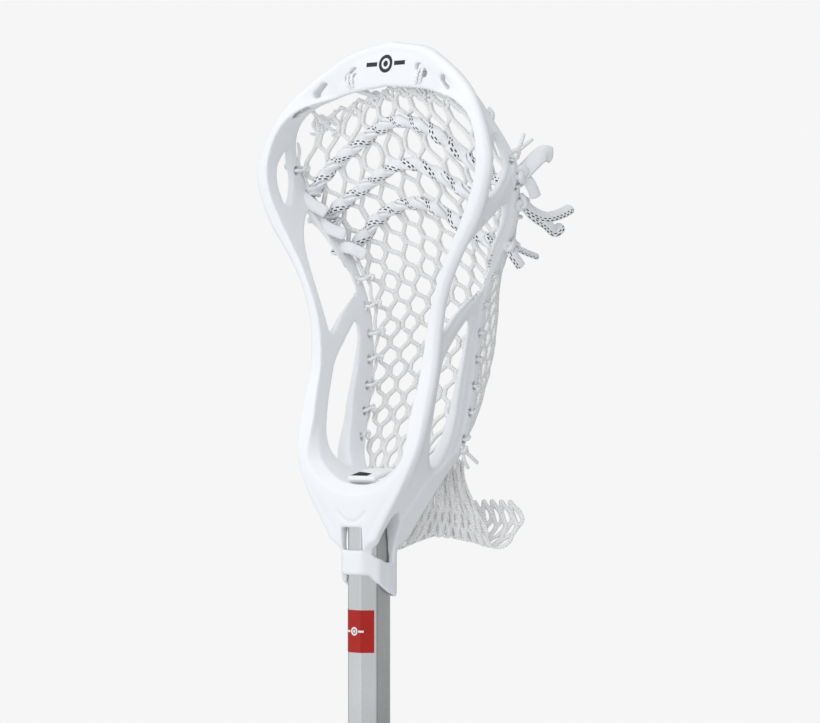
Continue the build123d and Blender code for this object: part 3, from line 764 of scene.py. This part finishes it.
# ---- Pocket net ----
# Height, half width, y at the rails and y at the middle.
POCKET = np.array([
    (779, 25, 24.5, 28), (790, 34, 33, 48), (808, 36.5, 40.5, 70), (825, 37, 45, 83), (853, 38.5, 49.5, 94),
    (880, 42.5, 52, 95), (905, 56, 51.5, 82), (925, 70, 46.5, 68), (945, 78, 36.5, 53), (965, 80, 28.5, 40),
    (985, 70, 25, 31), (1003, 56, 22, 24),
], float)
pocket_line = smooth_line(POCKET, 300)
NET_MIDDLE = 1.7  # from the pocket's inside to the middle of its cords
ARC_STEPS = 24
COLUMNS = 20
ROW_HEIGHTS = np.r_[np.linspace(781, 937, 17), 949, 961, 974, 986, 996, 1005]
# How far the rows sag from the middle to the rails, by the height of their middle.
ROW_SAG = [(779, 0), (850, 9), (937, 23), (961, 26), (986, 28), (1005, 16)]


def pocket_row(height):
    """Half width, y at the rails and y at the middle of the pocket, for an array of heights."""
    return [np.interp(height, pocket_line[:, 0], pocket_line[:, k]) for k in (1, 2, 3)]


def pocket_y(x, height):
    half, edge, middle = pocket_row(height)
    return edge + (middle - edge) * np.maximum(0, 1 - (x / half) ** 2)


def net_point(column, row, lift=0.0):
    """Points on the pocket; column runs from 0 to COLUMNS across it and row upwards from 0."""
    column, row = np.broadcast_arrays(np.asarray(column, float), np.asarray(row, float))
    place = 2 * column / COLUMNS - 1
    mid = np.interp(row, np.arange(len(ROW_HEIGHTS)), ROW_HEIGHTS)
    sag = np.interp(mid, [a for a, _ in ROW_SAG], [b for _, b in ROW_SAG])
    height = mid - sag * np.abs(place) ** 1.35
    half, edge, middle = pocket_row(height)
    # Columns are spaced evenly along the arc of the pocket's section.
    t = np.linspace(0, 1, ARC_STEPS + 1)
    depth = (middle - edge)[..., None]
    arc_x = half[..., None] * t
    arc_y = depth * t**2
    steps = np.sqrt(np.diff(arc_x, axis=-1) ** 2 + np.diff(arc_y, axis=-1) ** 2)
    arc = np.concatenate([np.zeros(steps.shape[:-1] + (1,)), np.cumsum(steps, -1)], -1)
    target = (np.abs(place) * arc[..., -1])[..., None]
    k = np.clip((arc < target).sum(-1) - 1, 0, ARC_STEPS - 1)[..., None]
    low, high = np.take_along_axis(arc, k, -1), np.take_along_axis(arc, k + 1, -1)
    share = (k + (target - low) / np.maximum(high - low, 1e-9))[..., 0] / ARC_STEPS
    x = np.sign(place) * half * share
    y = edge + (middle - edge) * (1 - share**2) + NET_MIDDLE + lift
    return np.stack([x, y, height], -1)


def zigzag(strand, row):
    """A strand's column at each row: it touches the strand on one side, then that on the other."""
    t = np.mod(row + strand, 2.0)
    ramp = smooth_step(0.17, 0.83, t) - smooth_step(1.17, 1.83, t)
    return strand + ramp


def net_cords(tubes, point, rows, shut, strands=COLUMNS, section=(1.42, 1.2), wobble=0.16):
    """Zigzag cords that meet in pairs; shut is how far the two cords of a pair lie from their column."""
    wide, deep = section
    for strand in range(strands):
        row = np.linspace(*rows, int((rows[1] - rows[0]) * 9) + 1)
        column = zigzag(strand, row)
        side = np.where(column - strand > 0.5, -1.0, 1.0) * np.abs(2 * (column - strand) - 1)
        phase = rng.uniform(0, 6.28, 3)
        free = smooth_step(0, 2, np.minimum(strand, strands - strand))
        drift = wobble * np.sin(row * 0.9 + phase[0]) * free
        column = column + shut * side + drift
        weave = 0.35 * np.sin(row * math.pi + strand * math.pi + 0.5) + 0.12 * np.sin(row * 5 + phase[1])
        line = point(column, row, weave)
        swell = 1 + 0.10 * np.abs(side) ** 4 + 0.05 * np.sin(row * 7.3 + phase[2])
        beyond = point(column + 0.02, row, weave)
        across = unit(beyond - line)
        normal = np.cross(across, unit(np.gradient(line, axis=0)))
        tubes.add(line, wide * swell, deep * swell, normal, shift=rng.uniform(0, 9))


net = Tubes()
net_cords(net, net_point, (0.0, len(ROW_HEIGHTS) - 1.0), 0.075)
net_piece = net.object("pocket_net")
settle(net_piece, knit, "mesh_cord", "pocket_mesh")

# ---- Surplus mesh below the pocket ----
# Rows of points down the sheet, each across it: (to the right in view, height, away from view).
TAIL_GRID = np.array([
    [(30, 791, 14), (37, 791, 15), (45, 791, 14), (53, 791, 13)],
    [(30, 776, 18), (38, 775, 15), (48, 775, 12), (56, 774, 10)],
    [(26, 758, 22), (37, 760, 17), (51, 760, 13), (64, 757, 9)],
    [(17, 740, 24), (34, 747, 21), (54, 745, 17), (73, 740, 14)],
    [(22, 744, 31), (42, 750, 29), (62, 750, 27), (88, 753, 20)],
    [(28, 758, 33), (45, 763, 33), (62, 767, 32), (83, 767, 27)],
], float)
TAIL_ROWS, TAIL_COLUMNS = 9, 22


def tail_point(column, row, lift=0.0):
    """Points on the surplus mesh: its smoothed grid, turned from the view's axes to the stick's."""
    column, row = np.broadcast_arrays(np.asarray(column, float), np.asarray(row, float))
    a = np.clip(column / TAIL_COLUMNS, 0, 1) * (tail_fine.shape[1] - 1)
    b = np.clip(row / TAIL_ROWS, 0, 1) * (tail_fine.shape[0] - 1)
    i = np.minimum(b.astype(int), tail_fine.shape[0] - 2)
    j = np.minimum(a.astype(int), tail_fine.shape[1] - 2)
    f, g = (b - i)[..., None], (a - j)[..., None]
    p = (tail_fine[i, j] * (1 - f) + tail_fine[i + 1, j] * f) * (1 - g)
    p = p + (tail_fine[i, j + 1] * (1 - f) + tail_fine[i + 1, j + 1] * f) * g
    right, height, away = p[..., 0], p[..., 1], p[..., 2] + lift
    c, s = math.cos(VIEW_AZIMUTH), math.sin(VIEW_AZIMUTH)
    return np.stack([right * c - away * s, right * s + away * c, height], -1)


FINE_DOWN, FINE_ACROSS = 60, 40
tail_down = np.stack([smooth_line(TAIL_GRID[:, k], FINE_DOWN) for k in range(4)], 1)
tail_fine = np.stack([smooth_line(line, FINE_ACROSS) for line in tail_down])
# The ripples across the sheet are deepest at its gathered top.
ripple = np.sin(np.linspace(0, 9 * math.pi, FINE_ACROSS))[None]
tail_fine[..., 2] += ripple * np.linspace(1.6, 0.6, FINE_DOWN)[:, None]
surplus = Tubes()
net_cords(surplus, tail_point, (0.0, float(TAIL_ROWS)), 0.12, TAIL_COLUMNS, (1.4, 0.65), 0.1)
surplus_piece = surplus.object("surplus_mesh")
settle(surplus_piece, knit, "mesh_cord", "mesh_tail")


# ---- Knots ----
def knot_line(centre, radius, turn, squeeze=(1.0, 1.0, 1.0)):
    """A tight overhand knot as a closed curve round a centre, in millimetres."""
    t = np.linspace(0, 2 * math.pi, 64, endpoint=False)
    lobes = [np.sin(t) + 2 * np.sin(2 * t), np.cos(t) - 2 * np.cos(2 * t), -1.5 * np.sin(3 * t)]
    p = np.stack(lobes, 1) / 3.0
    c, s = math.cos(turn), math.sin(turn)
    p = p @ np.array([[c, 0, -s], [s * s, c, s * c], [s * c, -s, c * c]])
    p = p * np.array(squeeze) * radius + np.asarray(centre)
    return np.vstack([p, p[:2]])


def tied(name, slot, shader, node, centre, radius, cord, tails, turn, squeeze=(1.0, 1.0, 1.0)):
    """A knot and its cut ends. Each tail is (points from the centre, half width, half thickness, normal)."""
    tubes = Tubes()
    tubes.add(knot_line(centre, radius, turn, squeeze), cord, cord * 0.8, shift=rng.uniform(0, 9))
    for points, wide, thick, normal in tails:
        route = [centre] + [tuple(np.add(centre, p)) for p in points]
        tubes.add(smooth_line(route, 36), wide, thick, normal, sides=10, shift=rng.uniform(0, 9))
    settle(tubes.object(name), shader, slot, node)


def back_y_at(height):
    """The y of the string rail's back edge at a height."""
    return float(np.interp(height - HEAD_BASE, [h for _, h in BACK_EDGE], [y for y, _ in BACK_EDGE]))


# ---- Shooting strings: two flat laces twisted together, woven through the net ----
# Control points (x, height) from the left rail to the right one.
SHOOTING = [
    [
        (-79, 946), (-61, 961), (-40, 972.5), (-20, 981.5), (-2, 985), (19, 978.5), (40, 962.5),
        (58, 950), (78, 951),
    ],
    [
        (-73, 932), (-60, 941), (-40, 951), (-20, 959.5), (-3, 960.5), (14, 953), (31, 943),
        (50, 937), (73, 936),
    ],
    [
        (-61, 913), (-50, 926), (-37, 934.5), (-18, 939), (-2, 936), (13, 925), (28, 917),
        (44, 912), (60, 912),
    ],
]
TWIST = 34.0  # length of one full turn of the pair
LACE_APART = 2.1  # from the pair's middle to the middle of each lace
# Cut ends as (points from the knot, half width, half thickness, normal), from the upper pair down.
RIGHT_TAILS = [
    [([(3, 5, 6), (5, 13, 12), (6, 20, 11)], 4.6, 0.9, (-0.66, 0.74, -0.1)),
     ([(2, 4, -4), (3, 7, -9), (3, 9, -13)], 3.2, 0.9, (-0.7, 0.7, -0.2))],
    [([(2, 6, -5), (4, 16, -8), (5, 27, -6), (5, 38, -2)], 3.2, 0.8, (0.66, -0.74, 0.25)),
     ([(2, 7, -7), (4, 16, -12), (4, 24, -16), (5, 29, -12)], 3.2, 0.8, (0.7, -0.7, 0.1))],
    [([(2, 5, -2), (3, 11, -4), (4, 19, -6)], 1.9, 0.8, (0.66, -0.74, 0.2)),
     ([(2, -1, -5), (3, 2, -9), (3, 5, -12)], 2.9, 0.8, (0.7, -0.7, 0.0))],
]
LEFT_TAILS = [
    [([(-3, 7, -1), (-5, 15, -4), (-3, 22, -9)], 2.8, 0.8, (-0.2, -0.9, 0.3)),
     ([(6, -4, -2), (13, -3, -7), (20, 2, -12)], 3.6, 0.9, (-0.5, 0.85, -0.1))],
    [([(-3, 8, -3), (-4, 16, -7), (-2, 24, -8)], 2.8, 0.8, (-0.2, -0.9, 0.4)),
     ([(6, -4, -2), (14, -3, -7), (23, 2, -11)], 3.6, 0.9, (-0.5, 0.85, -0.1))],
    [([(-3, 8, -2), (-5, 17, -5), (-4, 25, -11)], 2.8, 0.8, (-0.2, -0.9, 0.4)),
     ([(6, -4, 1), (13, -3, 0), (20, 2, -4)], 3.6, 0.9, (-0.5, 0.85, -0.1))],
]
for number, line in enumerate(SHOOTING, 1):
    seen = smooth_line(line)
    y = pocket_y(seen[:, 0], seen[:, 1]) - 0.6
    ends = []
    for side, (x, height) in ((-1, line[0]), (1, line[-1])):
        rail = back_y_at(height)
        knot_x = wall_x_at(height, rail) + 3.4
        ends.append(((side * (abs(x) + 4.5), rail + 2.6, height), (side * knot_x, rail - 1.5, height)))
    inner = np.column_stack([seen[:, 0], y, seen[:, 1]])[4:-4:6]
    path = smooth_line(np.vstack([ends[0][1], ends[0][0], inner, ends[1][0], ends[1][1]]), 300)
    run = np.r_[0, np.cumsum(np.linalg.norm(np.diff(path, axis=0), axis=1))]
    path[:, 1] += 0.9 * np.sin(run * 2 * math.pi / 13.0 + number)
    tangent = unit(np.gradient(path, axis=0))
    out = np.tile([0.0, -1.0, 0.0], (len(path), 1))
    out = unit(out - tangent * np.sum(out * tangent, 1, keepdims=True))
    up = np.cross(tangent, out)
    pair = Tubes()
    turn = run * 2 * math.pi / TWIST + 1.3 * number + 0.5 * np.sin(run * 0.05 + number)
    for strand in range(2):
        angle = turn + strand * math.pi
        radial = out * np.cos(angle)[:, None] + up * np.sin(angle)[:, None]
        squash = 1 - 0.25 * np.abs(np.sin(angle))
        wide = LACE_WIDE * (0.93 + 0.07 * np.sin(run * 0.31 + strand * 2))
        centre = path + radial * LACE_APART * squash[:, None]
        pair.add(centre, wide, LACE_THICK, radial, sides=14, shift=5.0 * strand)
    settle(pair.object(f"laces_{number}"), lace, "shooting_lace", f"shooting_string_{number}")
    tails = ((0, "left", LEFT_TAILS, -1), (1, "right", RIGHT_TAILS, 1))
    for end, name, lengths, side in tails:
        tied(
            f"lace_knot_{name}_{number}", "shooting_lace", lace, f"shooting_knot_{name}_{number}",
            ends[end][1], 3.7, 2.0, lengths[number - 1], 0.7 * number + side, (0.8, 1.0, 1.1),
        )

# ---- Sidewall strings: a cord down the inside of each rail, looped through the rail and the net ----
RAIL_HOLES = (246, 232, 214, 198, 182, 166, 150, 135, 120, 105, 90)
for side, name in ((-1, "left"), (1, "right")):
    cords = Tubes()
    main = []
    for i, h in enumerate(np.linspace(262, 80, 40)):
        height = HEAD_BASE + h
        y = back_y_at(height) + 1.0 + 0.8 * math.sin(i * 1.9)
        main.append((side * (wall_x_at(height, y) - 3.6 + 0.7 * math.cos(i * 1.9)), y, height))
    cords.add(smooth_line(main, 260), 1.0, 1.0)
    for i, h in enumerate(RAIL_HOLES):
        height = HEAD_BASE + h
        rail = back_y_at(height)
        wall = wall_x_at(height, rail)
        wander = rng.uniform(-1, 1, 4)
        loop = [
            (side * (wall - 6.6), rail - 1.0, height + 1.2 + wander[0]),
            (side * (wall - 4.6), rail - 4.0, height),
            (side * (wall - 1.4), rail - 3.9, height),
            (side * (wall + 2.3), rail - 2.2, height + 0.5 * wander[1]),
            (side * (wall + 0.6), rail + 2.0, height + 1.5 + wander[2]),
            (side * (wall - 4.5), rail + 2.6, height + 2.2),
        ]
        ring = smooth_line(loop, 48, closed=True)
        cords.add(np.vstack([ring, ring[1:3]]), 1.15, 1.0, shift=i * 3.0)
        wrap = knot_line((side * (wall - 7.2), rail + 1.6, height + 1.2), 1.9, 0.8 * i, (0.8, 0.8, 1.3))
        cords.add(wrap, 0.95, 0.85, sides=7, shift=i * 2.0)
    settle(cords.object(f"side_cord_{name}"), nylon_cord, "nylon_cord", f"sidewall_string_{name}")

CORD_TAILS = {
    "upper_left": ([(-2, 4, 3), (-2, 9, 2)], [(-2, 2, -4), (-3, 6, -7)]),
    "upper_right": ([(1, 4, 6), (1, 7, 12)], [(2, 6, 5), (3, 12, 9)]),
    "lower_left": ([(-2, 3, -4), (-2, 8, -9)], [(-2, 4, 2), (-3, 9, 1)]),
    "lower_right": ([(2, 4, -4), (3, 9, -8)], [(1, -1, -5), (1, 3, -11)]),
}
for place, h in (("upper", 249.0), ("lower", 84.0)):
    for side, name in ((-1, "left"), (1, "right")):
        height = HEAD_BASE + h
        y = back_y_at(height) - 1.0
        centre = (side * (wall_x_at(height, y) + 2.4), y, height)
        cut_ends = [(points, 1.1, 1.0, (1, 0, 0)) for points in CORD_TAILS[f"{place}_{name}"]]
        tied(
            f"cord_knot_{place}_{name}", "nylon_cord", nylon_cord, f"sidewall_knot_{place}_{name}",
            centre, 2.7, 1.25, cut_ends, side * 0.9 + h,
        )

# ---- Top string: along the net's upper edge, and up through the scoop's slots ----
top_cords = Tubes()
edge_columns = np.linspace(0.2, COLUMNS - 0.2, 200)
edge_row = len(ROW_HEIGHTS) - 1.0
edge = net_point(edge_columns, edge_row - 0.12 + 0.16 * np.sin(edge_columns * math.pi))
edge[:, 1] += 1.3 * np.sin(edge_columns * 2 * math.pi)
top_cords.add(edge, 1.15, 1.05)
second = net_point(edge_columns, edge_row - 0.45 - 0.25 * np.sin(edge_columns * math.pi))
second[:, 1] -= 1.2 * np.sin(edge_columns * 2 * math.pi + 0.7)
top_cords.add(second, 1.0, 0.95)
scoop_front = smooth_line(FRONT_EDGE)
scoop_back = smooth_line(BACK_EDGE)
sx, sh = SCOOP_SLOTS[0][:2]
front_at = float(np.interp(sh, scoop_front[:, 1], scoop_front[:, 0])) + 3.4
back_at = float(np.interp(sh, scoop_back[:, 1], scoop_back[:, 0]))
top = HEAD_BASE + sh
for side in (-1, 1):
    tie = net_point(COLUMNS * (0.5 + 0.16 * side), edge_row - 0.3)
    for shift in (-1.5, 1.3):
        loop = [
            (side * sx + shift, front_at - 0.6, top - 1.0),
            (side * sx * 0.94 + shift, front_at - 0.4, top - 7.5),
            (tie[0] + shift, tie[1] - 2.4, tie[2] + 1.0),
            (tie[0] + shift * 0.5, tie[1] + 1.8, tie[2] - 1.0),
            (side * sx * 0.95 + shift, back_at + 1.8, top - 6.0),
            (side * sx + shift * 0.7, back_at + 1.2, top - 0.5),
            (side * sx + shift * 0.8, (front_at + back_at) / 2, top + 0.3),
        ]
        ring = smooth_line(loop, 70, closed=True)
        top_cords.add(np.vstack([ring, ring[1:3]]), 1.0, 0.9, shift=shift)
    top_cords.add(knot_line(tie + [0, -0.8, 1.2], 2.6, side * sx, (1.2, 0.8, 0.9)), 1.0, 0.9)
    # From the shoulder's hole down to the net's corner, twice.
    hole = (side * 65.5, SHOULDER_HOLE[0] + 1.0, HEAD_BASE + SHOULDER_HOLE[1])
    for k, column in enumerate((1.1, 2.6)):
        at = net_point(column if side < 0 else COLUMNS - column, edge_row - 0.6 - 0.5 * k)
        route = [
            (side * 67.0, hole[1] + 0.5, hole[2] - 1.0 + k), hole,
            (side * 61.0, hole[1] + 6, hole[2] + 1.5 - 2 * k),
            tuple(at + [0, -1.8, 0.5]), tuple(at + [side * -4.0, 0.8, -1.0]),
        ]
        top_cords.add(smooth_line(route, 60), 1.1, 1.0)
        top_cords.add(knot_line(at + [0, -0.6, 0], 2.4, 1.3 * k + side, (1.0, 0.8, 1.0)), 1.0, 0.9)
settle(top_cords.object("top_cord"), nylon_cord, "nylon_cord", "top_string")

# ---- Bottom string: gathers the net's lower edge ----
low_cords = Tubes()
low_columns = np.linspace(0.0, COLUMNS, 160)
low_line = net_point(low_columns, 0.25 + 0.15 * np.sin(low_columns * math.pi))
low_line[:, 1] += 1.2 * np.sin(low_columns * 2 * math.pi)
low_ends = [(side * 33.5, 30.0, HEAD_BASE + 79) for side in (-1, 1)]
low_cords.add(smooth_line(np.vstack([low_ends[0], low_line[::5], low_ends[1]]), 220), 1.1, 1.0)
settle(low_cords.object("bottom_cord"), nylon_cord, "nylon_cord", "bottom_string")

# ---- Floor ----
floor_shader = Shader("pale_floor", (0.82, 0.82, 0.81), 0.7, specular=0.2)
floor_shader.worn(12.0, 4.0, 0.62, 0.78)
FLOOR_RADIUS, FLOOR_SIDES, FLOOR_GAP = 1600, 64, 0.5
angles = np.linspace(0, 2 * math.pi, FLOOR_SIDES, endpoint=False)
level = np.full(FLOOR_SIDES, -FLOOR_GAP)
disc = np.stack([FLOOR_RADIUS * np.cos(angles), FLOOR_RADIUS * np.sin(angles), level], 1)
floor = mesh_object("floor", disc, [list(range(FLOOR_SIDES))], smooth=False)
paint(floor, floor_shader)
